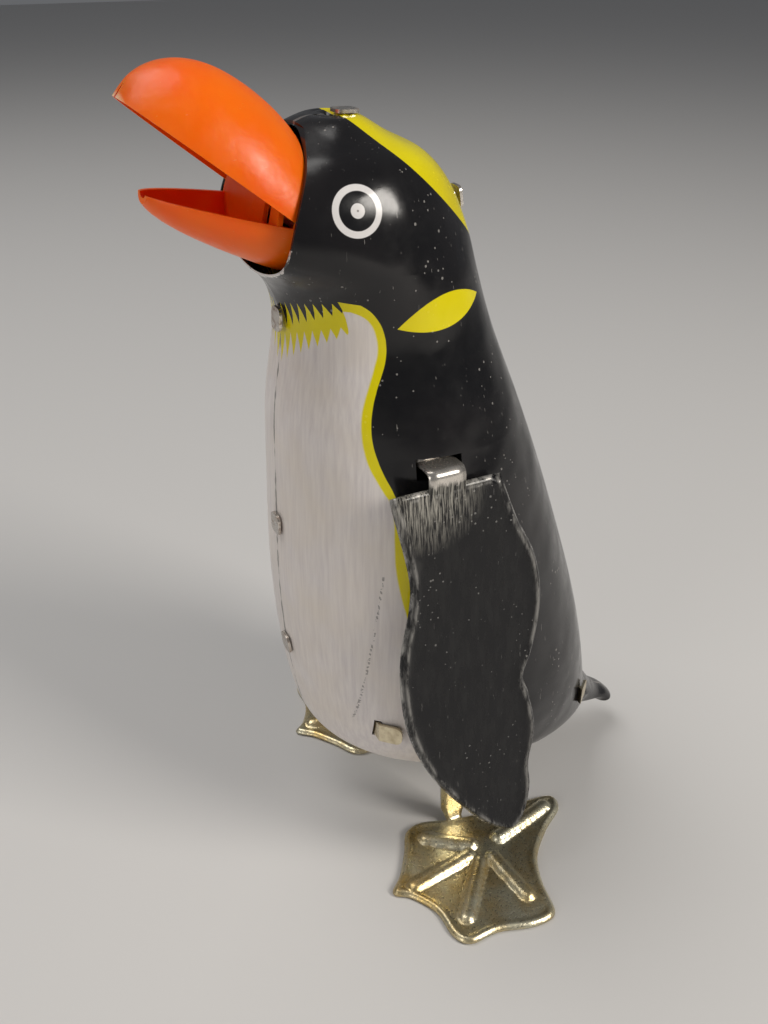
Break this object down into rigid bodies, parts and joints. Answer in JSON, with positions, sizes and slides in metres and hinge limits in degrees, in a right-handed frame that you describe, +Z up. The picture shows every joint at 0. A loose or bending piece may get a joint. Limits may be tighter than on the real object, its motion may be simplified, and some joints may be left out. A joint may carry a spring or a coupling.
{
  "type": "wind-up hopping penguin toy",
  "caption": "Lithographed tin clockwork penguin that hops on a pair of webbed feet while its upper beak snaps; sheet flippers hang from hinge tabs.",
  "frame": {"origin": "on the floor under the soles, at the centre of the bounding box", "axes": "+Z up from the soles to the beak tip, -Y the way the penguin faces, +X its left side"},
  "size_m": [0.1082, 0.1216, 0.1843],
  "materials": {
    "black_tin": "gloss",
    "bare_tin": "worn",
    "beak_plastic": "gloss",
    "foot_metal": "satin",
    "strap_metal": "satin",
    "frame_steel": "satin",
    "shaft_steel": "satin",
    "spring_steel": "satin",
    "key_steel": "satin",
    "gear_brass": "satin"
  },
  "bodies": {
    "body": {"left_body_shell": "black_tin", "right_body_shell": "black_tin", "seam_tabs": "bare_tin", "lower_beak": "beak_plastic", "beak_pivot_pin": "shaft_steel", "left_frame_plate": "frame_steel", "right_frame_plate": "frame_steel", "frame_pillars": "shaft_steel", "front_mount_strap": "strap_metal", "rear_mount_strap": "strap_metal", "rod_guide": "frame_steel", "mainspring": "spring_steel"},
    "beak": {"upper_beak": "beak_plastic"},
    "pull_rod": {"beak_rod": "spring_steel"},
    "arbor": {"spring_arbor": "shaft_steel", "ratchet_wheel": "shaft_steel", "winding_key": "key_steel"},
    "great_gear": {"great_wheel": "gear_brass", "click": "shaft_steel", "click_rivet": "gear_brass", "click_spring": "spring_steel"},
    "second_gear": {"second_shaft": "shaft_steel", "second_pinion": "shaft_steel", "second_wheel": "gear_brass"},
    "cam": {"cam_shaft": "shaft_steel", "cam_pinion": "shaft_steel", "drive_cam": "shaft_steel"},
    "legs": {"leg_shaft": "shaft_steel", "left_leg": "foot_metal", "right_leg": "foot_metal", "cam_follower": "frame_steel", "rocker_arm": "frame_steel", "leg_return_spring": "spring_steel"},
    "left_wing": {"left_flipper": "black_tin"},
    "right_wing": {"right_flipper": "black_tin"}
  },
  "joints": [
    {"name": "leg_hop", "type": "hinge", "parent": "body", "child": "legs", "pos_m": [0, -0.0002, 0.036], "axis": [1, 0, 0], "range_deg": [0, 14], "stiffness_Nm_per_rad": 0.05, "springref_deg": -34.38, "deforming": ["leg_return_spring"]},
    {"name": "beak_hinge", "type": "hinge", "parent": "body", "child": "beak", "pos_m": [0, -0.0347, 0.158], "axis": [1, 0, 0], "range_deg": [0, 22]},
    {"name": "rod_slide", "type": "slide", "parent": "body", "child": "pull_rod", "axis": [0, 0, 1], "range_m": [0, 0.00275]},
    {"name": "key_spin", "type": "hinge", "parent": "body", "child": "arbor", "pos_m": [0, 0.0178, 0.058], "axis": [1, 0, 0], "continuous": true},
    {"name": "great_spin", "type": "hinge", "parent": "body", "child": "great_gear", "pos_m": [0, 0.0178, 0.058], "axis": [1, 0, 0], "continuous": true},
    {"name": "second_spin", "type": "hinge", "parent": "body", "child": "second_gear", "pos_m": [0, 0.00481, 0.05396], "axis": [1, 0, 0], "continuous": true},
    {"name": "cam_spin", "type": "hinge", "parent": "body", "child": "cam", "pos_m": [0, -0.00502, 0.04781], "axis": [1, 0, 0], "continuous": true},
    {"name": "left_wing_hinge", "type": "hinge", "parent": "body", "child": "left_wing", "pos_m": [0.0286, -0.014, 0.114], "axis": [0, -1, 0], "range_deg": [0, 40]},
    {"name": "right_wing_hinge", "type": "hinge", "parent": "body", "child": "right_wing", "pos_m": [-0.0286, -0.014, 0.114], "axis": [0, 1, 0], "range_deg": [0, 40]}
  ],
  "couplings": [
    {"joint": "beak_hinge", "follows": "leg_hop", "ratio": 1.57},
    {"joint": "rod_slide", "follows": "leg_hop", "m_per_rad": 0.01125},
    {"joint": "second_spin", "follows": "great_spin", "ratio": -4.4},
    {"joint": "cam_spin", "follows": "great_spin", "ratio": 15.84}
  ]
}
